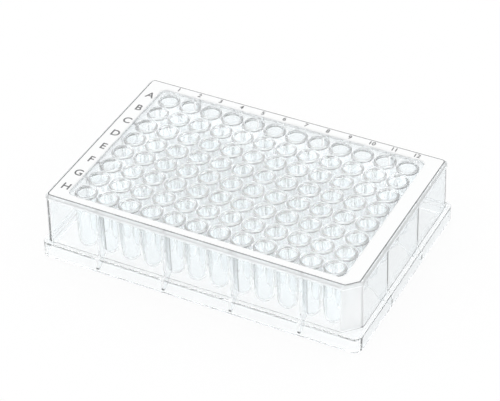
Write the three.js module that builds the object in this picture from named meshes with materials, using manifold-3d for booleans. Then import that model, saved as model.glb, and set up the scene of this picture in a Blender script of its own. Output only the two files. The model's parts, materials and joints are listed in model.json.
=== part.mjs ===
// A 96-well plate with round-bottomed wells, moulded in one piece of clear plastic.
//
// Millimetres. X runs along the plate towards column 12, Y across it towards row A, and Z up
// from the surface that the foot stands on. The origin is under the middle of the plate.

import * as THREE from 'three';
import { mergeVertices } from 'three/addons/utils/BufferGeometryUtils.js';
import Module from 'manifold-3d';

const wasm = await Module();
wasm.setup();

// ---------------------------------------------------------------------------------------------
// Driving dimensions

const PLATE_HEIGHT = 27;

// Foot: the flange that plate holders grip
const FOOT_LENGTH = 127.76;
const FOOT_WIDTH = 85.48;
const FOOT_HEIGHT = 6.1;
const FOOT_CORNER_RADIUS = 3.18;
const FOOT_EDGE_BEVEL = 0.4;
const FOOT_THICKNESS = 1.3;

// Ledge: the step between the foot and the side wall
const LEDGE_DEPTH = 1.93;
const LEDGE_THICKNESS = 1.2;

// Side wall, which leans in a little towards the lip
const WALL_THICKNESS = 1.2;
const WALL_LEAN = 0.25;
const WALL_CORNER_RADIUS = 2;

// Lip round the top of the wall, with a bevelled upper edge
const LIP_HEIGHT = 2;
const LIP_OVERHANG = 0.35;
const LIP_BEVEL_WIDTH = 1;
const LIP_BEVEL_HEIGHT = 0.9;

// Key corner beside the last well: a flat that takes this length off both sides of the lip
const KEY_CUT = 6;

// Frame: the flat top surface round the field of wells, bevelled along its inner edge, and the
// deck sunk inside it. The frame widths run from the lip to the upright face of the step.
const END_FRAME_WIDTH = 7.25;
const SIDE_FRAME_WIDTH = 4.55;
const FRAME_THICKNESS = 1.2;
const FRAME_BEVEL_WIDTH = 0.6;
const FRAME_BEVEL_HEIGHT = 0.5;
const FIELD_CORNER_RADIUS = 2.4;
const DECK_DEPTH = 1.3;
const DECK_THICKNESS = 1.1;
const STEP_THICKNESS = 1.2;

// Wells: the bore and the wall round it, at the rim and where the round bottom starts
const COLUMNS = 12;
const ROWS = 8;
const PITCH = 9;
const RIM_RISE = 0.6;
const BORE_TOP_DIAMETER = 6.9;
const BORE_FOOT_DIAMETER = 5.7;
const WELL_TOP_WALL = 0.65;
const WELL_FOOT_WALL = 0.9;
const WELL_FLAT_DIAMETER = 3.4;
const WELL_CLEARANCE = 2;
const BOTTOM_THICKNESS = 0.8;

// Webs between the outer wells and the skirt: the columns and rows whose end wells carry one
const WEB_COLUMNS = [2, 5, 8, 11];
const WEB_ROWS = [3, 6];
const WEB_THICKNESS = 1;
const WEB_CLEARANCE = 0.6;
const WEB_SLANT = 6;

// Smoothness: the sides of a well, of the flat under it, and of a rounded corner
const WELL_SIDES = 8;
const WELL_FLAT_SIDES = 4;
const CORNER_STEPS = 3;

// The round bottom of a bore is drawn through one ring, this far below its widest
const BOTTOM_RING_ANGLE = THREE.MathUtils.degToRad(50);

// How far a cut runs past the face it opens, and how far a joined form reaches inside
const CUT_PAST = 1;
const JOIN_DEPTH = 0.4;

// ---------------------------------------------------------------------------------------------
// Worked-out sizes

const footHalf = { x: FOOT_LENGTH / 2, y: FOOT_WIDTH / 2 };
const wallFootHalf = inset(footHalf, LEDGE_DEPTH);
const wallTopHalf = inset(wallFootHalf, WALL_LEAN);
const lipHalf = inset(wallTopHalf, -LIP_OVERHANG);
const fieldHalf = { x: lipHalf.x - END_FRAME_WIDTH, y: lipHalf.y - SIDE_FRAME_WIDTH };

const lipZ = PLATE_HEIGHT - LIP_HEIGHT;
const deckZ = PLATE_HEIGHT - DECK_DEPTH;
const deckUndersideZ = deckZ - DECK_THICKNESS;
const frameUndersideZ = PLATE_HEIGHT - FRAME_THICKNESS;
const ledgeUndersideZ = FOOT_HEIGHT - LEDGE_THICKNESS;
const rimZ = deckZ + RIM_RISE;
const wellTopRadius = BORE_TOP_DIAMETER / 2 + WELL_TOP_WALL;
const wellFootRadius = BORE_FOOT_DIAMETER / 2 + WELL_FOOT_WALL;
const boreBottomZ = WELL_CLEARANCE + BOTTOM_THICKNESS;

// The key flat lies in the plane x - y = keyPlane, and its inner face one thickness inside it
const keyPlane = lipHalf.x + lipHalf.y - KEY_CUT;
const keyInnerPlane = keyPlane - WALL_THICKNESS * Math.SQRT2;

function inset(half, distance) {
  return { x: half.x - distance, y: half.y - distance };
}

// ---------------------------------------------------------------------------------------------
// Outlines, forms and solids

function arc(centreX, centreY, radius, startAngle) {
  const points = [];
  for (let step = 0; step <= CORNER_STEPS; step += 1) {
    const angle = startAngle + (Math.PI / 2) * (step / CORNER_STEPS);
    points.push([centreX + radius * Math.cos(angle), centreY + radius * Math.sin(angle)]);
  }
  return points;
}

// A rounded rectangle, anticlockwise from the corner between -Y and +X. Where a key plane is
// given, a straight cut takes the place of the rounding at that corner.
function roundedRectangle(half, radius, key = null) {
  const arcX = half.x - radius;
  const arcY = half.y - radius;
  const keyCorner = [[key - half.y, -half.y], [half.x, half.x - key]];
  return [
    ...(key === null ? arc(arcX, -arcY, radius, -Math.PI / 2) : keyCorner),
    ...arc(arcX, arcY, radius, 0),
    ...arc(-arcX, arcY, radius, Math.PI / 2),
    ...arc(-arcX, -arcY, radius, Math.PI),
  ];
}

// The corner radius at which a straight-sided ring holds as much as a round one
function cornerRadius(radius, corners) {
  return radius * Math.sqrt((2 * Math.PI) / (corners * Math.sin((2 * Math.PI) / corners)));
}

// A ring of WELL_SIDES points. With fewer corners, the points meet in groups at the corners.
function ring(radius, corners = WELL_SIDES) {
  const group = WELL_SIDES / corners;
  const reach = cornerRadius(radius, corners);
  return Array.from({ length: WELL_SIDES }, (_, side) => {
    const place = Math.floor(side / group) * group + (group - 1) / 2;
    const angle = (2 * Math.PI * place) / WELL_SIDES;
    return [reach * Math.cos(angle), reach * Math.sin(angle)];
  });
}

// A closed form through a stack of convex outlines, each with the same number of points
function loft(levels) {
  const count = levels[0].points.length;
  const positions = levels.flatMap(({ z, points }) => points.flatMap(([x, y]) => [x, y, z]));
  const triangles = [];
  for (let level = 0; level < levels.length - 1; level += 1) {
    for (let side = 0; side < count; side += 1) {
      const low = level * count + side;
      const lowNext = level * count + ((side + 1) % count);
      triangles.push(low, lowNext, lowNext + count, low, lowNext + count, low + count);
    }
  }
  const top = (levels.length - 1) * count;
  for (let side = 1; side < count - 1; side += 1) {
    triangles.push(0, side + 1, side, top, top + side, top + side + 1);
  }
  const geometry = new THREE.BufferGeometry();
  geometry.setAttribute('position', new THREE.Float32BufferAttribute(positions, 3));
  geometry.setIndex(triangles);
  return geometry;
}

// Turns a closed geometry into a solid that can be joined and cut
function toSolid(geometry) {
  const plain = geometry.clone();
  plain.deleteAttribute('normal');
  plain.deleteAttribute('uv');
  const merged = mergeVertices(plain);
  return new wasm.Manifold(new wasm.Mesh({
    numProp: 3,
    vertProperties: new Float32Array(merged.attributes.position.array),
    triVerts: new Uint32Array(merged.index.array),
  }));
}

function toGeometry(solid) {
  const { vertProperties, triVerts } = solid.getMesh();
  const geometry = new THREE.BufferGeometry();
  geometry.setAttribute('position', new THREE.BufferAttribute(vertProperties, 3));
  geometry.setIndex(new THREE.BufferAttribute(triVerts, 1));
  geometry.computeVertexNormals();
  return geometry;
}

function solidLoft(levels) {
  return toSolid(loft(levels));
}

function joinAll(solids) {
  return solids.reduce((joined, solid) => joined.add(solid));
}

// ---------------------------------------------------------------------------------------------
// Skirt: foot, ledge, side wall and lip, closed at the top and hollow from below

function makeFoot() {
  const outer = roundedRectangle(footHalf, FOOT_CORNER_RADIUS);
  const bevelTop = inset(footHalf, FOOT_EDGE_BEVEL);
  return solidLoft([
    { z: 0, points: outer },
    { z: FOOT_HEIGHT - FOOT_EDGE_BEVEL, points: outer },
    { z: FOOT_HEIGHT, points: roundedRectangle(bevelTop, FOOT_CORNER_RADIUS - FOOT_EDGE_BEVEL) },
  ]);
}

function makeWallAndLip() {
  const lipRadius = WALL_CORNER_RADIUS + LIP_OVERHANG;
  const wallFoot = roundedRectangle(wallFootHalf, WALL_CORNER_RADIUS, keyPlane);
  const wallTop = roundedRectangle(wallTopHalf, WALL_CORNER_RADIUS, keyPlane);
  const lip = roundedRectangle(lipHalf, lipRadius, keyPlane);
  const bevelTop = inset(lipHalf, LIP_BEVEL_WIDTH);
  return solidLoft([
    { z: ledgeUndersideZ, points: wallFoot },
    { z: FOOT_HEIGHT, points: wallFoot },
    { z: lipZ, points: wallTop },
    { z: lipZ, points: lip },
    { z: PLATE_HEIGHT - LIP_BEVEL_HEIGHT, points: lip },
    { z: PLATE_HEIGHT, points: roundedRectangle(bevelTop, lipRadius - LIP_BEVEL_WIDTH, keyPlane) },
  ]);
}

function makeFootCavity() {
  const radius = FOOT_CORNER_RADIUS - FOOT_THICKNESS;
  const points = roundedRectangle(inset(footHalf, FOOT_THICKNESS), radius);
  return solidLoft([{ z: -CUT_PAST, points }, { z: ledgeUndersideZ, points }]);
}

function makeWallCavity() {
  const radius = WALL_CORNER_RADIUS - WALL_THICKNESS;
  const low = inset(wallFootHalf, WALL_THICKNESS);
  const high = inset(wallTopHalf, WALL_THICKNESS);
  return solidLoft([
    { z: ledgeUndersideZ - CUT_PAST, points: roundedRectangle(low, radius, keyInnerPlane) },
    { z: frameUndersideZ, points: roundedRectangle(high, radius, keyInnerPlane) },
  ]);
}

function makeSkirt() {
  return makeFoot().add(makeWallAndLip()).subtract(makeFootCavity()).subtract(makeWallCavity());
}

// ---------------------------------------------------------------------------------------------
// Deck that carries the wells, hung below the frame by a step all round

function makeDeck() {
  const radius = FIELD_CORNER_RADIUS + STEP_THICKNESS;
  const points = roundedRectangle(inset(fieldHalf, -STEP_THICKNESS), radius);
  return solidLoft([{ z: deckUndersideZ, points }, { z: frameUndersideZ + JOIN_DEPTH, points }]);
}

function makeFieldOpening() {
  const low = roundedRectangle(fieldHalf, FIELD_CORNER_RADIUS);
  const wideHalf = inset(fieldHalf, -FRAME_BEVEL_WIDTH);
  const wide = roundedRectangle(wideHalf, FIELD_CORNER_RADIUS + FRAME_BEVEL_WIDTH);
  return solidLoft([
    { z: deckZ, points: low },
    { z: PLATE_HEIGHT - FRAME_BEVEL_HEIGHT, points: low },
    { z: PLATE_HEIGHT, points: wide },
    { z: PLATE_HEIGHT + CUT_PAST, points: wide },
  ]);
}

// ---------------------------------------------------------------------------------------------
// Wells

// Row and column numbers and centres of the wells. A field too small for the whole grid
// carries what fits.
function placeWells() {
  const columns = wellsThatFit(fieldHalf.x, COLUMNS);
  const rows = wellsThatFit(fieldHalf.y, ROWS);
  return Array.from({ length: rows * columns }, (_, index) => {
    const row = 1 + Math.floor(index / columns);
    const column = 1 + (index % columns);
    const x = (column - (columns + 1) / 2) * PITCH;
    const y = ((rows + 1) / 2 - row) * PITCH;
    return { row, column, x, y };
  });
}

function wellsThatFit(halfSpan, wanted) {
  const room = 2 * (halfSpan - cornerRadius(wellTopRadius, WELL_SIDES));
  return Math.min(wanted, 1 + Math.floor(room / PITCH));
}

function makeWellBody() {
  return loft([
    { z: WELL_CLEARANCE, points: ring(WELL_FLAT_DIAMETER / 2, WELL_FLAT_SIDES) },
    { z: WELL_CLEARANCE + wellFootRadius, points: ring(wellFootRadius) },
    { z: rimZ, points: ring(wellTopRadius) },
  ]);
}

// The bore ends below in a half ball, and keeps its taper as it runs out past the rim
function makeBore() {
  const ball = BORE_FOOT_DIAMETER / 2;
  const ballZ = boreBottomZ + ball;
  const taper = (BORE_TOP_DIAMETER / 2 - ball) / (rimZ - ballZ);
  const ringZ = ballZ - ball * Math.sin(BOTTOM_RING_ANGLE);
  return loft([
    { z: boreBottomZ, points: ring(0) },
    { z: ringZ, points: ring(ball * Math.cos(BOTTOM_RING_ANGLE)) },
    { z: ballZ, points: ring(ball) },
    { z: rimZ + CUT_PAST, points: ring(BORE_TOP_DIAMETER / 2 + taper * CUT_PAST) },
  ]);
}

function atEveryWell(wells, form) {
  return joinAll(wells.map(({ x, y }) => toSolid(form.clone().translate(x, y, 0))));
}

// ---------------------------------------------------------------------------------------------
// Webs

// A web is a thin upright plate from an outer well out to the skirt. It hangs from the deck and
// the frame, follows the side wall down and runs on into the foot, and its lower corner under
// the well is slanted. It is drawn along +X, then turned to its heading and moved sideways.
function makeWeb(wellReach, footReach, heading, sideways) {
  const wellSide = wellReach + wellFootRadius - JOIN_DEPTH;
  const footSide = footReach - FOOT_THICKNESS + JOIN_DEPTH;
  const wallSide = footReach - LEDGE_DEPTH - WALL_LEAN - WALL_THICKNESS + JOIN_DEPTH;
  const slant = Math.min(WEB_SLANT, wallSide - wellSide);
  const shape = new THREE.Shape([
    new THREE.Vector2(wellSide, WEB_CLEARANCE + slant),
    new THREE.Vector2(wellSide + slant, WEB_CLEARANCE),
    new THREE.Vector2(footSide, WEB_CLEARANCE),
    new THREE.Vector2(footSide, ledgeUndersideZ + JOIN_DEPTH),
    new THREE.Vector2(wallSide, ledgeUndersideZ + JOIN_DEPTH),
    new THREE.Vector2(wallSide, frameUndersideZ + JOIN_DEPTH),
    new THREE.Vector2(wellSide, frameUndersideZ + JOIN_DEPTH),
  ]);
  const geometry = new THREE.ExtrudeGeometry(shape, { depth: WEB_THICKNESS, bevelEnabled: false });
  geometry.translate(0, 0, -WEB_THICKNESS / 2);
  geometry.rotateX(Math.PI / 2);
  geometry.translate(0, sideways, 0);
  geometry.rotateZ(heading);
  return toSolid(geometry);
}

function makeWebs(wells) {
  const endReach = wells[wells.length - 1].x;
  const sideReach = wells[0].y;
  const rowOffsets = wells
    .filter(({ x, row }) => x === endReach && WEB_ROWS.includes(row))
    .map(({ y }) => y);
  const columnOffsets = wells
    .filter(({ y, column }) => y === sideReach && WEB_COLUMNS.includes(column))
    .map(({ x }) => x);
  return joinAll([
    ...rowOffsets.map((offset) => makeWeb(endReach, footHalf.x, 0, offset)),
    ...rowOffsets.map((offset) => makeWeb(endReach, footHalf.x, Math.PI, offset)),
    ...columnOffsets.map((offset) => makeWeb(sideReach, footHalf.y, Math.PI / 2, offset)),
    ...columnOffsets.map((offset) => makeWeb(sideReach, footHalf.y, -Math.PI / 2, offset)),
  ]);
}

// ---------------------------------------------------------------------------------------------
// The plate

function makePlate() {
  const wells = placeWells();
  const tray = makeSkirt().add(makeDeck()).add(makeWebs(wells)).subtract(makeFieldOpening());
  const bodies = atEveryWell(wells, makeWellBody());
  const bores = atEveryWell(wells, makeBore());
  return toGeometry(tray.add(bodies).subtract(bores));
}

const clearPlastic = new THREE.MeshStandardMaterial({
  color: 0xe4ebe9,
  roughness: 0.08,
  metalness: 0,
  transparent: true,
  opacity: 0.4,
});

const wellPlate = new THREE.Mesh(makePlate(), clearPlastic);
wellPlate.name = 'well_plate';

const part = new THREE.Group();
part.add(wellPlate);

export default part;
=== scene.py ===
"""The looks of the well plate: clear moulded plastic, a white printed border and grey lettering."""
import json
import math

import bmesh
import bpy
from mathutils import Matrix, Vector


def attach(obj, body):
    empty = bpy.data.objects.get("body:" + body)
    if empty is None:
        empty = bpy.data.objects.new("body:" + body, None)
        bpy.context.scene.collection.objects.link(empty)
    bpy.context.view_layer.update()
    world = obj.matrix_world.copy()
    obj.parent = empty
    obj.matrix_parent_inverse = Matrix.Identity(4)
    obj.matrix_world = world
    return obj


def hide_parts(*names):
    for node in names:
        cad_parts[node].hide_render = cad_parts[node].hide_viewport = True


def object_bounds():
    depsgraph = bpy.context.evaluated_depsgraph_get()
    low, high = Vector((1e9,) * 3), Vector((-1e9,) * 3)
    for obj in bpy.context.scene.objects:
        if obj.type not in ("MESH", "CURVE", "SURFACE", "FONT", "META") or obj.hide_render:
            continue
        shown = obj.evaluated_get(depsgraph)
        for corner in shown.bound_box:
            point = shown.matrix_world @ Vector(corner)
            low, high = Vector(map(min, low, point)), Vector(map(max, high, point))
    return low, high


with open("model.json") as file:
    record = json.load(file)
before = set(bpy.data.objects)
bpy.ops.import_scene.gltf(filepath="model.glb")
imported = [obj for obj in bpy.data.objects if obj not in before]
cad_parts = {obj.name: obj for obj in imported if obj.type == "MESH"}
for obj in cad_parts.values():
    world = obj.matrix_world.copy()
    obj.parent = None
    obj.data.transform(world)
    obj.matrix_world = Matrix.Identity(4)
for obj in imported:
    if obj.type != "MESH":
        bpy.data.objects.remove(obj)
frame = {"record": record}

MM = 0.001
CAD_LOW, CAD_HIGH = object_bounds()

# ----------------------------------------------------------------------------------------------
# Sizes in millimetres, as in the CAD source where they name the same feature

PLATE_HEIGHT = (CAD_HIGH.z - CAD_LOW.z) / MM
FOOT_HALF = Vector(((CAD_HIGH.x - CAD_LOW.x) / 2, (CAD_HIGH.y - CAD_LOW.y) / 2)) / MM

FOOT_HEIGHT = 6.1
FOOT_CORNER_RADIUS = 3.18
FOOT_EDGE_RADIUS = 0.4
FOOT_THICKNESS = 1.3
FOOT_RIM_RADIUS = 0.15

LEDGE_DEPTH = 1.93
LEDGE_THICKNESS = 1.2
LEDGE_FILLET = 0.3

WALL_THICKNESS = 1.2
WALL_LEAN = 0.25
WALL_CORNER_RADIUS = 2.0
CAVITY_FILLET = 0.4

LIP_HEIGHT = 2.0
LIP_OVERHANG = 0.35
LIP_BEVEL_WIDTH = 1.0
LIP_BEVEL_HEIGHT = 0.9
LIP_EDGE_RADIUS = 0.12

KEY_CUT = 6.0
KEY_EDGE_RADIUS = 0.4

END_FRAME_WIDTH = 7.25
SIDE_FRAME_WIDTH = 4.55
FRAME_THICKNESS = 1.2
FRAME_BEVEL_WIDTH = 0.6
FRAME_BEVEL_HEIGHT = 0.5
FIELD_CORNER_RADIUS = 2.4
DECK_DEPTH = 1.3
DECK_THICKNESS = 1.1
STEP_THICKNESS = 1.2
STEP_FILLET = 0.2

RIM_RISE = 0.6
RIM_EDGE_RADIUS = 0.2
BORE_TOP_DIAMETER = 6.9
BORE_FOOT_DIAMETER = 5.7
WELL_TOP_DIAMETER = 8.2
WELL_FOOT_DIAMETER = 7.5
WELL_CLEARANCE = 2.0
BOTTOM_THICKNESS = 0.8
WELL_FILLET = 0.25

WEB_COLUMNS = (2, 5, 8, 11)
WEB_ROWS = ("C", "F")
WEB_THICKNESS = 1.0
WEB_CLEARANCE = 0.6
WEB_SLANT = 6.0

# Steps round a well, down its ball, round a corner, over a rounding and over a small edge
WELL_SEGMENTS = 32
BALL_STEPS = 6
CORNER_STEPS = 8
ROUNDING_STEPS = 3
SMALL_EDGE_STEPS = 2

# How far a cut runs past the face it opens, and how far a joined form reaches inside
CUT_PAST = 1.0
JOIN_DEPTH = 0.4

# The smallest radius that a corner keeps when its outline is drawn further in
LEAST_CORNER_RADIUS = 0.1

# ----------------------------------------------------------------------------------------------
# The grid of wells, from the openings that the record states for some of its columns

ROW_LETTERS = "ABCDEFGH"
COLUMN_NUMBERS = range(1, 13)


def well_grid():
    """The places of the columns along X and of the rows along Y."""
    centres = {}
    for opening in frame["record"]["physics"]["openings"]:
        low, high = (Vector(corner) for corner in opening["box_m"])
        centres[opening["name"].removeprefix("well_")] = (low + high) / 2 / MM
    first, last = centres["A1"], centres["H12"]
    pitch_x = (last.x - first.x) / (len(COLUMN_NUMBERS) - 1)
    pitch_y = (first.y - last.y) / (len(ROW_LETTERS) - 1)
    columns = {number: first.x + (number - 1) * pitch_x for number in COLUMN_NUMBERS}
    rows = {letter: first.y - place * pitch_y for place, letter in enumerate(ROW_LETTERS)}
    return columns, rows


COLUMNS, ROWS = well_grid()
PITCH = COLUMNS[2] - COLUMNS[1]
WELL_PLACES = [(x, y) for y in ROWS.values() for x in COLUMNS.values()]

# ----------------------------------------------------------------------------------------------
# Worked-out sizes

WALL_FOOT_HALF = FOOT_HALF - Vector((LEDGE_DEPTH, LEDGE_DEPTH))
WALL_TOP_HALF = WALL_FOOT_HALF - Vector((WALL_LEAN, WALL_LEAN))
LIP_HALF = WALL_TOP_HALF + Vector((LIP_OVERHANG, LIP_OVERHANG))
FIELD_HALF = LIP_HALF - Vector((END_FRAME_WIDTH, SIDE_FRAME_WIDTH))
KEY_PLANE = LIP_HALF.x + LIP_HALF.y - KEY_CUT

LIP_Z = PLATE_HEIGHT - LIP_HEIGHT
DECK_Z = PLATE_HEIGHT - DECK_DEPTH
DECK_UNDERSIDE_Z = DECK_Z - DECK_THICKNESS
FRAME_UNDERSIDE_Z = PLATE_HEIGHT - FRAME_THICKNESS
LEDGE_UNDERSIDE_Z = FOOT_HEIGHT - LEDGE_THICKNESS
RIM_Z = DECK_Z + RIM_RISE
BORE_BOTTOM_Z = WELL_CLEARANCE + BOTTOM_THICKNESS


def quarter(steps=ROUNDING_STEPS):
    """(sine, cosine) at even steps through a quarter turn."""
    turns = [math.pi / 2 * step / steps for step in range(steps + 1)]
    return [(math.sin(turn), math.cos(turn)) for turn in turns]


# ----------------------------------------------------------------------------------------------
# Outlines and forms


def rounded(corners, radii):
    """A convex polygon, anticlockwise, with each of its corners rounded to its radius."""
    points = []
    for index, corner in enumerate(corners):
        before = (corners[index - 1] - corner).normalized()
        after = (corners[(index + 1) % len(corners)] - corner).normalized()
        half_angle = before.angle(after) / 2
        radius = radii[index]
        centre = corner + (before + after).normalized() * radius / math.sin(half_angle)
        start = corner + before * radius / math.tan(half_angle) - centre
        turn = math.pi - 2 * half_angle
        for step in range(CORNER_STEPS + 1):
            points.append(centre + Matrix.Rotation(turn * step / CORNER_STEPS, 2) @ start)
    return points


def rectangle(half, radius):
    corners = [Vector((half.x * x, half.y * y)) for x, y in ((1, -1), (1, 1), (-1, 1), (-1, -1))]
    return rounded(corners, [radius] * len(corners))


def keyed_rectangle(half, radius, grow=0.0, key_grow=None):
    """A rounded rectangle with the key flat in place of its corner between -Y and +X. It stands
    out by grow all round, and by key_grow at the flat."""
    key = KEY_PLANE + math.sqrt(2) * (grow if key_grow is None else key_grow)
    x, y = half.x + grow, half.y + grow
    corners = [
        Vector((key - y, -y)),
        Vector((x, x - key)),
        Vector((x, y)),
        Vector((-x, y)),
        Vector((-x, -y)),
    ]
    round_all = max(radius + grow, LEAST_CORNER_RADIUS)
    return rounded(corners, [KEY_EDGE_RADIUS] * 2 + [round_all] * 3)


def make_object(name, vertices, faces):
    mesh = bpy.data.meshes.new(name)
    mesh.from_pydata([Vector(vertex) * MM for vertex in vertices], [], faces)
    mesh.validate()
    found = bpy.data.objects.new(name, mesh)
    bpy.context.scene.collection.objects.link(found)
    return found


def loft(name, levels):
    """A closed form through a stack of (z, outline) levels, from the lowest up."""
    count = len(levels[0][1])
    vertices = [(x, y, z) for z, outline in levels for x, y in outline]
    faces = [tuple(range(count))[::-1], tuple(range(len(vertices) - count, len(vertices)))]
    for level in range(len(levels) - 1):
        for side in range(count):
            low = level * count + side
            low_next = level * count + (side + 1) % count
            faces.append((low, low_next, low_next + count, low + count))
    return make_object(name, vertices, faces)


def turned(name, profile, places):
    """Copies of a form turned about Z, one at each place. The (radius, z) profile runs up from
    the axis and back to it."""
    vertices, faces = [], []
    inner = profile[1:-1]
    for place_x, place_y in places:
        base = len(vertices)
        for radius, z in inner:
            for segment in range(WELL_SEGMENTS):
                turn = 2 * math.pi * segment / WELL_SEGMENTS
                vertices.append((
                    place_x + radius * math.cos(turn),
                    place_y + radius * math.sin(turn),
                    z,
                ))
        bottom, top = len(vertices), len(vertices) + 1
        vertices += [(place_x, place_y, profile[0][1]), (place_x, place_y, profile[-1][1])]
        last = base + (len(inner) - 1) * WELL_SEGMENTS
        for segment in range(WELL_SEGMENTS):
            after = (segment + 1) % WELL_SEGMENTS
            faces.append((bottom, base + after, base + segment))
            faces.append((top, last + segment, last + after))
            for level in range(len(inner) - 1):
                low = base + level * WELL_SEGMENTS
                high = low + WELL_SEGMENTS
                faces.append((low + segment, low + after, high + after, high + segment))
    return make_object(name, vertices, faces)


def combine(target, operation, *tools):
    """Joins tools to the target, or cuts them from it, and removes them."""
    for tool in tools:
        modifier = target.modifiers.new("combine", "BOOLEAN")
        modifier.solver = "MANIFOLD"
        modifier.operation = operation
        modifier.object = tool
    graph = bpy.context.evaluated_depsgraph_get()
    mesh = bpy.data.meshes.new_from_object(target.evaluated_get(graph))
    target.modifiers.clear()
    mesh.materials.clear()
    target.data = mesh
    for tool in tools:
        bpy.data.objects.remove(tool)
    return target


# ----------------------------------------------------------------------------------------------
# The moulding


def make_foot():
    levels = []
    for sine, cosine in quarter():
        inset = FOOT_RIM_RADIUS * (1 - sine)
        levels.append((FOOT_RIM_RADIUS * (1 - cosine), inset))
    for sine, cosine in quarter():
        inset = FOOT_EDGE_RADIUS * (1 - cosine)
        levels.append((FOOT_HEIGHT - FOOT_EDGE_RADIUS * (1 - sine), inset))
    return loft("foot", [
        (z, rectangle(FOOT_HALF - Vector((inset, inset)), FOOT_CORNER_RADIUS - inset))
        for z, inset in levels
    ])


def make_wall():
    lip_radius = WALL_CORNER_RADIUS + LIP_OVERHANG
    fillet = [
        (FOOT_HEIGHT + LEDGE_FILLET * (1 - cosine), LEDGE_FILLET * (1 - sine))
        for sine, cosine in quarter()
    ]
    buried = keyed_rectangle(WALL_FOOT_HALF, WALL_CORNER_RADIUS, LEDGE_FILLET)
    levels = [(LEDGE_UNDERSIDE_Z, buried)]
    levels += [(z, keyed_rectangle(WALL_FOOT_HALF, WALL_CORNER_RADIUS, grow)) for z, grow in fillet]
    levels.append((LIP_Z, keyed_rectangle(WALL_TOP_HALF, WALL_CORNER_RADIUS, 0)))
    for sine, cosine in quarter(SMALL_EDGE_STEPS):
        inset = LIP_EDGE_RADIUS * (1 - sine)
        z = LIP_Z + LIP_EDGE_RADIUS * (1 - cosine)
        levels.append((z, keyed_rectangle(LIP_HALF, lip_radius, -inset, 0)))
    levels.append((PLATE_HEIGHT - LIP_BEVEL_HEIGHT, keyed_rectangle(LIP_HALF, lip_radius, 0)))
    levels.append((PLATE_HEIGHT, keyed_rectangle(LIP_HALF, lip_radius, -LIP_BEVEL_WIDTH, 0)))
    return loft("wall", levels)


def make_cavity():
    foot_inside = rectangle(
        FOOT_HALF - Vector((FOOT_THICKNESS, FOOT_THICKNESS)),
        FOOT_CORNER_RADIUS - FOOT_THICKNESS,
    )
    foot = loft("foot_cavity", [(-CUT_PAST, foot_inside), (LEDGE_UNDERSIDE_Z, foot_inside)])
    low = keyed_rectangle(WALL_FOOT_HALF, WALL_CORNER_RADIUS, -WALL_THICKNESS)
    levels = [(LEDGE_UNDERSIDE_Z - CUT_PAST, low)]
    for sine, cosine in quarter():
        inset = WALL_THICKNESS + CAVITY_FILLET * (1 - cosine)
        z = FRAME_UNDERSIDE_Z - CAVITY_FILLET * (1 - sine)
        levels.append((z, keyed_rectangle(WALL_TOP_HALF, WALL_CORNER_RADIUS, -inset)))
    return combine(foot, "UNION", loft("wall_cavity", levels))


def make_deck():
    step = Vector((STEP_THICKNESS, STEP_THICKNESS))
    outline = rectangle(FIELD_HALF + step, FIELD_CORNER_RADIUS + STEP_THICKNESS)
    return loft("deck", [(DECK_UNDERSIDE_Z, outline), (FRAME_UNDERSIDE_Z + JOIN_DEPTH, outline)])


def field_rectangle(grow):
    return rectangle(FIELD_HALF + Vector((grow, grow)), FIELD_CORNER_RADIUS + grow)


def frame_bevel(grow=0.0):
    """The rounded inner edge of the frame, as levels from its foot up to the flat."""
    return [
        (
            PLATE_HEIGHT - FRAME_BEVEL_HEIGHT * (1 - sine),
            field_rectangle(FRAME_BEVEL_WIDTH * (1 - cosine) + grow),
        )
        for sine, cosine in quarter()
    ]


def make_field_opening():
    levels = [
        (DECK_Z + STEP_FILLET * (1 - cosine), field_rectangle(-STEP_FILLET * (1 - sine)))
        for sine, cosine in quarter()
    ]
    levels += frame_bevel()
    levels.append((PLATE_HEIGHT + CUT_PAST, field_rectangle(FRAME_BEVEL_WIDTH)))
    return loft("field_opening", levels)


def ball(radius, bottom_z):
    """The lower half of a ball, from its lowest point out to its widest ring."""
    return [
        (radius * sine, bottom_z + radius * (1 - cosine))
        for sine, cosine in quarter(BALL_STEPS)
    ]


def make_wells():
    foot, top = WELL_FOOT_DIAMETER / 2, WELL_TOP_DIAMETER / 2
    foot_z = WELL_CLEARANCE + foot

    def side(z):
        return foot + (top - foot) * (z - foot_z) / (RIM_Z - foot_z)

    profile = ball(foot, WELL_CLEARANCE)
    for sine, cosine in quarter():
        z = DECK_UNDERSIDE_Z - WELL_FILLET * (1 - sine)
        profile.append((side(z) + WELL_FILLET * (1 - cosine), z))
    for sine, cosine in quarter():
        z = DECK_Z + WELL_FILLET * (1 - cosine)
        profile.append((side(z) + WELL_FILLET * (1 - sine), z))
    for sine, cosine in quarter(SMALL_EDGE_STEPS):
        z = RIM_Z - RIM_EDGE_RADIUS * (1 - sine)
        profile.append((side(z) - RIM_EDGE_RADIUS * (1 - cosine), z))
    profile.append((0, RIM_Z))
    return turned("wells", profile, WELL_PLACES)


def make_bores():
    foot, top = BORE_FOOT_DIAMETER / 2, BORE_TOP_DIAMETER / 2
    foot_z = BORE_BOTTOM_Z + foot

    def side(z):
        return foot + (top - foot) * (z - foot_z) / (RIM_Z - foot_z)

    profile = ball(foot, BORE_BOTTOM_Z)
    for sine, cosine in quarter(SMALL_EDGE_STEPS):
        z = RIM_Z - RIM_EDGE_RADIUS * (1 - sine)
        profile.append((side(z) + RIM_EDGE_RADIUS * (1 - cosine), z))
    profile.append((top + RIM_EDGE_RADIUS, RIM_Z + CUT_PAST))
    profile.append((0, RIM_Z + CUT_PAST))
    return turned("bores", profile, WELL_PLACES)


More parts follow.
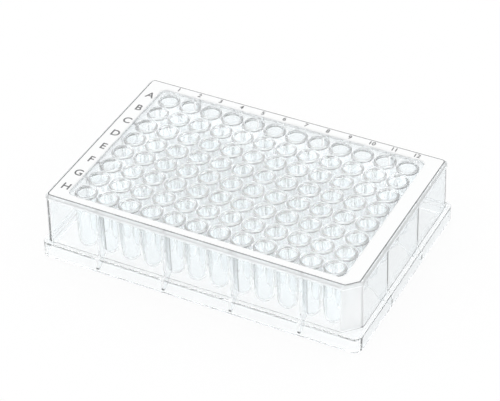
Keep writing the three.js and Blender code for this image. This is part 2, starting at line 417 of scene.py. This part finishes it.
def make_web(name, well_reach, foot_reach, heading, sideways):
    """A thin upright plate from an outer well to the skirt, drawn along +X and turned."""
    well_side = well_reach + WELL_FOOT_DIAMETER / 2 - JOIN_DEPTH
    foot_side = foot_reach - FOOT_THICKNESS + JOIN_DEPTH
    wall_side = foot_reach - LEDGE_DEPTH - WALL_LEAN - WALL_THICKNESS + JOIN_DEPTH
    slant = min(WEB_SLANT, wall_side - well_side)
    shape = [
        (well_side, WEB_CLEARANCE + slant),
        (well_side + slant, WEB_CLEARANCE),
        (foot_side, WEB_CLEARANCE),
        (foot_side, LEDGE_UNDERSIDE_Z + JOIN_DEPTH),
        (wall_side, LEDGE_UNDERSIDE_Z + JOIN_DEPTH),
        (wall_side, FRAME_UNDERSIDE_Z + JOIN_DEPTH),
        (well_side, FRAME_UNDERSIDE_Z + JOIN_DEPTH),
    ]
    turn = Matrix.Rotation(heading, 3, "Z")
    vertices = [
        turn @ Vector((reach, sideways + half, z))
        for half in (-WEB_THICKNESS / 2, WEB_THICKNESS / 2)
        for reach, z in shape
    ]
    count = len(shape)
    faces = [tuple(range(count)), tuple(range(2 * count - 1, count - 1, -1))]
    for side in range(count):
        after = (side + 1) % count
        faces.append((after, side, side + count, after + count))
    return make_object(name, vertices, faces)


def make_webs():
    end_reach, side_reach = max(COLUMNS.values()), max(ROWS.values())
    webs = []
    for letter in WEB_ROWS:
        for heading, side in ((0, 1), (math.pi, -1)):
            webs.append(make_web("web", end_reach, FOOT_HALF.x, heading, side * ROWS[letter]))
    for number in WEB_COLUMNS:
        for heading, side in ((math.pi / 2, -1), (-math.pi / 2, 1)):
            webs.append(make_web("web", side_reach, FOOT_HALF.y, heading, side * COLUMNS[number]))
    return webs


def make_moulding():
    plate = combine(make_foot(), "UNION", make_wall())
    combine(plate, "DIFFERENCE", make_cavity())
    combine(plate, "UNION", make_deck(), *make_webs())
    combine(plate, "DIFFERENCE", make_field_opening())
    combine(plate, "UNION", make_wells())
    combine(plate, "DIFFERENCE", make_bores())
    plate.name = plate.data.name = "clear_moulding"
    smooth(plate)
    return plate


SHARP_ANGLE = math.radians(40)
FACE_AREA_WEIGHT = 100


def smooth(piece):
    """Smooth over roundings, sharp at real edges and even on flats."""
    mesh = piece.data
    mesh.shade_smooth()
    mesh.set_sharp_from_angle(angle=SHARP_ANGLE)
    weighted = piece.modifiers.new("even_flats", "WEIGHTED_NORMAL")
    weighted.mode = "FACE_AREA"
    weighted.weight = FACE_AREA_WEIGHT
    weighted.keep_sharp = True


# ----------------------------------------------------------------------------------------------
# Print on the frame: the white border, the row letters and the column numbers

PRINT_SINK = 0.02
PRINT_RISE = 0.03
INK_RISE = 0.05
BORDER_MARGIN = 0.42

# The signs' heights, how far outside the field their middles lie and how far along it they shift
LETTER_HEIGHT = 3.4
LETTER_GAP = 2.2
LETTER_SHIFT_Y = -1.45
NUMBER_HEIGHT = 2.0
NUMBER_GAP = 1.54
NUMBER_SHIFT_X = 0.9
CAPITAL_SHARE = 0.7
STROKE_GROWTH = 0.05
MERGE_DISTANCE = 0.0001


def make_border():
    """The white film on the frame, from a little inside its outer bevel to over its inner edge."""
    flat = LIP_BEVEL_WIDTH + BORDER_MARGIN
    outer = keyed_rectangle(LIP_HALF, WALL_CORNER_RADIUS + LIP_OVERHANG, -flat, -BORDER_MARGIN)
    low, high = PLATE_HEIGHT - PRINT_SINK, PLATE_HEIGHT + PRINT_RISE
    border = loft("white_border", [(low, outer), (high, outer)])
    under_z = PLATE_HEIGHT - FRAME_BEVEL_HEIGHT - CUT_PAST
    under = loft("under", [*frame_bevel(PRINT_SINK), (high, field_rectangle(FRAME_BEVEL_WIDTH))])
    over = [(under_z, field_rectangle(-PRINT_RISE)), *frame_bevel(-PRINT_RISE)]
    over.append((high + CUT_PAST, field_rectangle(FRAME_BEVEL_WIDTH - PRINT_RISE)))
    combine(border, "UNION", under)
    combine(border, "DIFFERENCE", loft("over", over))
    border.data.name = border.name
    return border


def make_lettering(name, signs, height):
    """Flat raised signs on the border, each (text, x, y) centred at its place."""
    shapes = []
    for text, x, y in signs:
        curve = bpy.data.curves.new(name, "FONT")
        curve.body = text
        curve.size = height / CAPITAL_SHARE * MM
        curve.align_x = "CENTER"
        curve.align_y = "CENTER"
        curve.offset = STROKE_GROWTH * MM
        curve.extrude = (INK_RISE - PRINT_RISE) * MM
        found = bpy.data.objects.new(name, curve)
        bpy.context.scene.collection.objects.link(found)
        found.location = Vector((x, y, PLATE_HEIGHT + PRINT_RISE)) * MM
        shapes.append(found)
    bpy.context.view_layer.update()
    graph = bpy.context.evaluated_depsgraph_get()
    joined = bmesh.new()
    for shape in shapes:
        mesh = bpy.data.meshes.new_from_object(shape.evaluated_get(graph))
        mesh.transform(shape.matrix_world)
        joined.from_mesh(mesh)
        bpy.data.meshes.remove(mesh)
    for shape in shapes:
        bpy.data.objects.remove(shape)
    bmesh.ops.remove_doubles(joined, verts=joined.verts, dist=MERGE_DISTANCE * MM)
    mesh = bpy.data.meshes.new(name)
    joined.to_mesh(mesh)
    joined.free()
    found = bpy.data.objects.new(name, mesh)
    bpy.context.scene.collection.objects.link(found)
    return found


# ----------------------------------------------------------------------------------------------
# Materials

PLASTIC_IOR = 1.5
CLEARNESS = 0.95
DECK_CLEARNESS = 0.85
RIM_CLEARNESS = 0.7
LIP_CLEARNESS = 0.5
KEY_CLEARNESS = 0.3

CLEAR_COLOUR = (0.955, 0.973, 0.98, 1)
# Painted shade: seen at a slant outside the inner wells, the plastic darkens towards this colour,
# partly for the longer path through the tinted plastic
PAINTED_SHADE_COLOUR = (0.45, 0.5, 0.53, 1)
# Painted shade: the bare top margin outside the white border darkens towards this colour
PAINTED_EDGE_SHADE_COLOUR = (0.09, 0.095, 0.1, 1)
SLANT_PAINTED_SHADE = 0.45
PAINTED_EDGE_SHADE = 0.8

# Painted light: a translucent glow added on top of the plastic's shader, partly its slight
# cloudiness, and more of it to keep the inner wells, the rims, the lip and the foot's bottom pale
HAZE_AND_PAINTED_LIGHT = 0.03
FIELD_PAINTED_LIGHT = 0.045
RIM_PAINTED_LIGHT = 0.1
LIP_PAINTED_LIGHT = 0.12
FOOT_PAINTED_LIGHT = 0.12

# Each zone is (start, full), in millimetres past the face it is measured from: a mask begins to
# change at the first and is done at the second. The foot's is measured from the ground.
DECK_ZONE = (-0.5, -0.2)
KEY_ZONE = (-0.7, -0.5)
KEY_FOOT_ZONE = (0.3, 0.6)
KEY_LIP_ZONE = (-0.1, 0.1)
LIP_ZONE = (-0.2, -0.05)
PAINTED_EDGE_ZONE = (-0.06, -0.02)
FOOT_ZONE = (0.4, 0.6)

# The rims lie between these distances from a well's centre, again as (start, full)
RIM_INSIDE_ZONE = (3.3, 3.5)
RIM_OUTSIDE_ZONE = (4.35, 4.5)

# The field of wells with its margin, and the part up to about the outermost wells' centres,
# which gets more painted light and none of the painted slant shade
FIELD_MARGIN = 0.2
FIELD_BLUR = 0.2
INNER_HALF = Vector((50, 30))
INNER_BLUR = 3

# The Facing values at which the painted shade on a surface seen at a slant starts and is full
SLANT_ZONE = (0.35, 0.8)
FACING_BLEND = 0.5

POLISH_GRAIN = 60
POLISH_ROUGHNESS = (0.01, 0.04)
RIM_ROUGHNESS = 0.35

WHITE_INK_COLOUR = (0.98, 0.985, 0.985, 1)
WHITE_INK_GRAIN = 400
WHITE_INK_ROUGHNESS = (0.4, 0.55)
GREY_INK_COLOUR = (0.13, 0.13, 0.135, 1)
GREY_INK_GRAIN = 600
GREY_INK_ROUGHNESS = (0.45, 0.6)

NOISE_SPREAD = (0.3, 0.7)
NOISE_DETAIL = 3.0


def new_material(name):
    material = bpy.data.materials.new(name)
    material.use_nodes = True
    return material, material.node_tree.nodes, material.node_tree.links


def mix_surface(nodes, links, share, first, second):
    """The material's surface: the first shader where the share is 0, the second where it is 1."""
    mix = nodes.new("ShaderNodeMixShader")
    links.new(share, mix.inputs["Fac"])
    links.new(first.outputs[0], mix.inputs[1])
    links.new(second.outputs[0], mix.inputs[2])
    links.new(mix.outputs[0], nodes["Material Output"].inputs["Surface"])


def noise_range(nodes, links, scale, values):
    """Noise in the object's own space, brought to a range of values."""
    place = nodes.new("ShaderNodeTexCoord")
    noise = nodes.new("ShaderNodeTexNoise")
    noise.inputs["Scale"].default_value = scale
    noise.inputs["Detail"].default_value = NOISE_DETAIL
    spread = nodes.new("ShaderNodeMapRange")
    for name, limits in (("From", NOISE_SPREAD), ("To", values)):
        for end, limit in zip(("Min", "Max"), limits):
            spread.inputs[f"{name} {end}"].default_value = limit
    links.new(place.outputs["Object"], noise.inputs["Vector"])
    links.new(noise.outputs["Fac"], spread.inputs["Value"])
    return spread.outputs["Result"]


class Sums:
    """Adds the nodes of small sums on values to a material."""

    def __init__(self, nodes, links):
        self.nodes, self.links = nodes, links

    def put(self, socket, value):
        """A number or a colour is set on the socket, and anything else is linked to it."""
        if isinstance(value, (int, float, tuple)):
            socket.default_value = value
        else:
            self.links.new(value, socket)

    def math(self, operation, *values):
        node = self.nodes.new("ShaderNodeMath")
        node.operation = operation
        for socket, value in zip(node.inputs, values):
            self.put(socket, value)
        return node.outputs[0]

    def product(self, first, *others):
        for other in others:
            first = self.math("MULTIPLY", first, other)
        return first

    def change(self, operation, total, *steps):
        """Adds to a total, or subtracts from it, each step's amount where its mask is 1."""
        for mask, amount in steps:
            total = self.math(operation, total, self.math("MULTIPLY", mask, amount))
        return total

    def blend(self, share, first, second):
        """The first colour where the share is 0 and the second where it is 1."""
        node = self.nodes.new("ShaderNodeMix")
        node.data_type = "RGBA"
        colours = [socket for socket in node.inputs if socket.type == "RGBA"]
        for socket, value in zip((node.inputs["Factor"], *colours), (share, first, second)):
            self.put(socket, value)
        return next(socket for socket in node.outputs if socket.type == "RGBA")

    def rise(self, value, zone, face=0.0):
        """A smooth rise from 0 where a value enters a (start, full) zone past a face to 1."""
        start, full = zone
        node = self.nodes.new("ShaderNodeMapRange")
        node.interpolation_type = "SMOOTHSTEP"
        node.inputs["From Min"].default_value = face + start
        node.inputs["From Max"].default_value = face + full
        self.put(node.inputs["Value"], value)
        return node.outputs["Result"]

    def rest(self, mask):
        """1 where a mask is 0, and 0 where it is 1."""
        return self.math("SUBTRACT", 1.0, mask)

    def fall(self, value, zone, face=0.0):
        return self.rest(self.rise(value, zone, face))

    def inside(self, x, y, half, blur):
        """1 within a rectangle about the origin, fading to 0 outside it."""
        return self.product(*(
            self.fall(self.math("ABSOLUTE", value), (0, blur), limit)
            for value, limit in ((x, half.x), (y, half.y))
        ))


def distance_to_well(sums, x, y):
    """How far a place lies from the centre of the nearest well."""

    def past_centre(value):
        turns = sums.math("FRACT", sums.math("DIVIDE", value, PITCH))
        return sums.math("MULTIPLY", sums.math("SUBTRACT", turns, 0.5), PITCH)

    squares = [sums.math("POWER", past_centre(value), 2.0) for value in (x, y)]
    return sums.math("SQRT", sums.math("ADD", *squares))


def plastic_zones(sums, x, y, z):
    """Masks of the parts of the moulding that differ in finish, in painted shade or in painted
    light, from a place in millimetres.
    """
    away = distance_to_well(sums, x, y)
    field_half = FIELD_HALF + Vector((FIELD_MARGIN, FIELD_MARGIN))
    field = sums.inside(x, y, field_half, FIELD_BLUR)
    deck = sums.product(field, sums.rise(z, DECK_ZONE, DECK_Z))
    around = sums.rest(field)
    past_key = sums.math("SUBTRACT", sums.math("SUBTRACT", x, y), KEY_PLANE)
    return {
        "deck": deck,
        "rims": sums.product(
            deck,
            sums.rise(away, RIM_INSIDE_ZONE),
            sums.fall(away, RIM_OUTSIDE_ZONE),
        ),
        "key": sums.product(
            sums.rise(past_key, KEY_ZONE),
            sums.rise(z, KEY_FOOT_ZONE, FOOT_HEIGHT),
            sums.fall(z, KEY_LIP_ZONE, LIP_Z),
        ),
        "lip": sums.product(around, sums.rise(z, LIP_ZONE, LIP_Z)),
        # The bare top margin outside the field, which gets a painted dark line
        "edge": sums.product(around, sums.rise(z, PAINTED_EDGE_ZONE, PLATE_HEIGHT)),
        "inner": sums.inside(x, y, INNER_HALF, INNER_BLUR),
        "foot": sums.fall(z, FOOT_ZONE),
    }


def clear_plastic():
    """Clear and polished, with satin on the deck, the rims and the lip and frost on the key flat.
    Painted shade darkens its top outer edge and, outside the inner wells, where it is seen at a
    slant, partly for the longer path through it. A translucent glow on top, partly cloudiness
    and partly painted light, keeps the inner wells, the rims, the lip and the foot pale."""
    material, nodes, links = new_material("clear_plastic")
    shader = nodes["Principled BSDF"]
    shader.inputs["IOR"].default_value = PLASTIC_IOR

    sums = Sums(nodes, links)
    place = nodes.new("ShaderNodeTexCoord")
    split = nodes.new("ShaderNodeSeparateXYZ")
    links.new(place.outputs["Object"], split.inputs[0])
    zones = plastic_zones(sums, *(sums.math("DIVIDE", split.outputs[axis], MM) for axis in "XYZ"))

    clear = sums.change(
        "SUBTRACT",
        CLEARNESS,
        (zones["deck"], CLEARNESS - DECK_CLEARNESS),
        (zones["rims"], DECK_CLEARNESS - RIM_CLEARNESS),
        (zones["key"], CLEARNESS - KEY_CLEARNESS),
        (zones["lip"], CLEARNESS - LIP_CLEARNESS),
    )
    links.new(clear, shader.inputs["Transmission Weight"])
    polish = noise_range(nodes, links, POLISH_GRAIN, POLISH_ROUGHNESS)
    rough = sums.change("ADD", polish, (zones["rims"], RIM_ROUGHNESS))
    links.new(rough, shader.inputs["Roughness"])

    # Painted shade where the plastic is seen at a slant, outside the inner wells and the key flat,
    # partly for the longer path through it
    facing = nodes.new("ShaderNodeLayerWeight")
    facing.inputs["Blend"].default_value = FACING_BLEND
    slant = sums.rise(facing.outputs["Facing"], SLANT_ZONE)
    shade = sums.product(slant, SLANT_PAINTED_SHADE, sums.rest(zones["inner"]), sums.rest(zones["key"]))
    tint_and_painted_shade = sums.blend(shade, CLEAR_COLOUR, PAINTED_SHADE_COLOUR)
    # Painted shade: a dark line along the frame's bare top margin
    colour = sums.blend(sums.product(zones["edge"], PAINTED_EDGE_SHADE), tint_and_painted_shade, PAINTED_EDGE_SHADE_COLOUR)
    links.new(colour, shader.inputs["Base Color"])

    # A translucent glow added on top of the shader: partly the plastic's slight cloudiness, and
    # painted light that keeps the inner wells, the rims, the lip and the foot's bottom pale
    strength = sums.change(
        "ADD",
        HAZE_AND_PAINTED_LIGHT,
        (zones["inner"], FIELD_PAINTED_LIGHT),
        (zones["rims"], RIM_PAINTED_LIGHT),
        (zones["foot"], FOOT_PAINTED_LIGHT),
        (sums.math("SUBTRACT", zones["lip"], zones["edge"]), LIP_PAINTED_LIGHT),
    )
    painted_light_colour = nodes.new("ShaderNodeCombineColor")
    for channel in painted_light_colour.inputs:
        links.new(strength, channel)
    painted_light_lobe = nodes.new("ShaderNodeBsdfTranslucent")
    links.new(painted_light_colour.outputs[0], painted_light_lobe.inputs["Color"])
    surface_with_painted_light = nodes.new("ShaderNodeAddShader")
    links.new(shader.outputs[0], surface_with_painted_light.inputs[0])
    links.new(painted_light_lobe.outputs[0], surface_with_painted_light.inputs[1])

    # A shadow ray goes straight through, so that light reaches what lies behind the plastic
    path = nodes.new("ShaderNodeLightPath")
    straight = nodes.new("ShaderNodeBsdfTransparent")
    mix_surface(nodes, links, path.outputs["Is Shadow Ray"], surface_with_painted_light, straight)
    return material


def ink(name, colour, grain, roughness):
    """Matt print with a fine unevenness in its gloss."""
    material, nodes, links = new_material(name)
    shader = nodes["Principled BSDF"]
    shader.inputs["Base Color"].default_value = colour
    links.new(noise_range(nodes, links, grain, roughness), shader.inputs["Roughness"])
    return material


# ----------------------------------------------------------------------------------------------
# Studio

CAMERA_AZIMUTH = math.radians(27.535)
CAMERA_ELEVATION = math.radians(38.069)
CAMERA_ROLL = math.radians(-1.388)
CAMERA_DISTANCE = 756.719
CAMERA_RIGHT = 0.547
CAMERA_UP = 2.554
AIM_HEIGHT = 13.0
CAMERA_LENS = 148.46
CAMERA_SENSOR_WIDTH = 36

FLOOR_HALF = 6000.0
FLOOR_DROP = 0.1
FLOOR_GREY = 0.9
ROOM_LOW = 0.94
ROOM_HIGH = 1.04
FLOOR_GLOW_SHARE = 0.9


def make_camera():
    """Looks down at the plate's middle from in front and to the right of it."""
    back = Vector((
        math.sin(CAMERA_AZIMUTH) * math.cos(CAMERA_ELEVATION),
        -math.cos(CAMERA_AZIMUTH) * math.cos(CAMERA_ELEVATION),
        math.sin(CAMERA_ELEVATION),
    ))
    level_right = (-back).cross(Vector((0, 0, 1))).normalized()
    level_up = level_right.cross(-back)
    right = level_right * math.cos(CAMERA_ROLL) + level_up * math.sin(CAMERA_ROLL)
    up = level_up * math.cos(CAMERA_ROLL) - level_right * math.sin(CAMERA_ROLL)
    aim = Vector((0, 0, AIM_HEIGHT)) + right * CAMERA_RIGHT + up * CAMERA_UP
    camera = bpy.data.objects.new("camera", bpy.data.cameras.new("camera"))
    camera.data.lens = CAMERA_LENS
    camera.data.sensor_width = CAMERA_SENSOR_WIDTH
    camera.matrix_world = Matrix.Translation((aim + back * CAMERA_DISTANCE) * MM) @ (
        Matrix((right, up, back)).transposed().to_4x4()
    )
    bpy.context.scene.collection.objects.link(camera)
    bpy.context.scene.camera = camera


def make_floor():
    """A pale floor that keeps a soft shadow and is white where nothing shades it."""
    mesh = bpy.data.meshes.new("floor")
    corners = [
        Vector((x * FLOOR_HALF, y * FLOOR_HALF, -FLOOR_DROP)) * MM
        for x, y in ((-1, -1), (1, -1), (1, 1), (-1, 1))
    ]
    mesh.from_pydata(corners, [], [(0, 1, 2, 3)])
    floor = bpy.data.objects.new("floor", mesh)
    bpy.context.scene.collection.objects.link(floor)
    material, nodes, links = new_material("floor")
    nodes.remove(nodes["Principled BSDF"])
    matt = nodes.new("ShaderNodeBsdfDiffuse")
    matt.inputs["Color"].default_value = (FLOOR_GREY, FLOOR_GREY, FLOOR_GREY, 1)
    glow = nodes.new("ShaderNodeEmission")
    matt_light = (1 - FLOOR_GLOW_SHARE) * FLOOR_GREY
    glow.inputs["Strength"].default_value = (1 - matt_light) / FLOOR_GLOW_SHARE
    sums = Sums(nodes, links)
    path = nodes.new("ShaderNodeLightPath").outputs
    seen = path["Is Camera Ray"]
    for ray in ("Is Transmission Ray", "Is Glossy Ray"):
        seen = sums.math("MAXIMUM", seen, path[ray])
    share = sums.math("MULTIPLY", seen, FLOOR_GLOW_SHARE)
    mix_surface(nodes, links, share, matt, glow)
    mesh.materials.append(material)


def make_world():
    """A white room, a little brighter overhead than at the horizon."""
    world = bpy.data.worlds.new("studio")
    bpy.context.scene.world = world
    world.use_nodes = True
    nodes, links = world.node_tree.nodes, world.node_tree.links
    place = nodes.new("ShaderNodeTexCoord")
    split = nodes.new("ShaderNodeSeparateXYZ")
    ramp = nodes.new("ShaderNodeValToRGB")
    levels = ((0.0, ROOM_LOW), (1.0, ROOM_HIGH))
    for stop, (height, level) in zip(ramp.color_ramp.elements, levels):
        stop.position = height
        stop.color = (level, level, level, 1)
    links.new(place.outputs["Generated"], split.inputs[0])
    links.new(split.outputs["Z"], ramp.inputs["Fac"])
    background = nodes["Background"]
    links.new(ramp.outputs["Color"], background.inputs["Color"])
    background.inputs["Strength"].default_value = 1.0


# ----------------------------------------------------------------------------------------------
# The scene

make_camera()
make_world()
make_floor()

plate = make_moulding()
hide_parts("well_plate")
border = make_border()
letters = make_lettering(
    "row_letters",
    [(letter, -FIELD_HALF.x - LETTER_GAP, y + LETTER_SHIFT_Y) for letter, y in ROWS.items()],
    LETTER_HEIGHT,
)
numbers = make_lettering(
    "column_numbers",
    [(str(number), x + NUMBER_SHIFT_X, FIELD_HALF.y + NUMBER_GAP) for number, x in COLUMNS.items()],
    NUMBER_HEIGHT,
)
white = ink("white_print", WHITE_INK_COLOUR, WHITE_INK_GRAIN, WHITE_INK_ROUGHNESS)
grey = ink("grey_print", GREY_INK_COLOUR, GREY_INK_GRAIN, GREY_INK_ROUGHNESS)
for piece, slot, material in (
    (plate, "clear_plastic", clear_plastic()),
    (border, "white_print", white),
    (letters, "grey_print", grey),
    (numbers, "grey_print", grey),
):
    piece.data.materials.append(material)
    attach(piece, "root")

bpy.context.scene.view_settings.view_transform = "Standard"
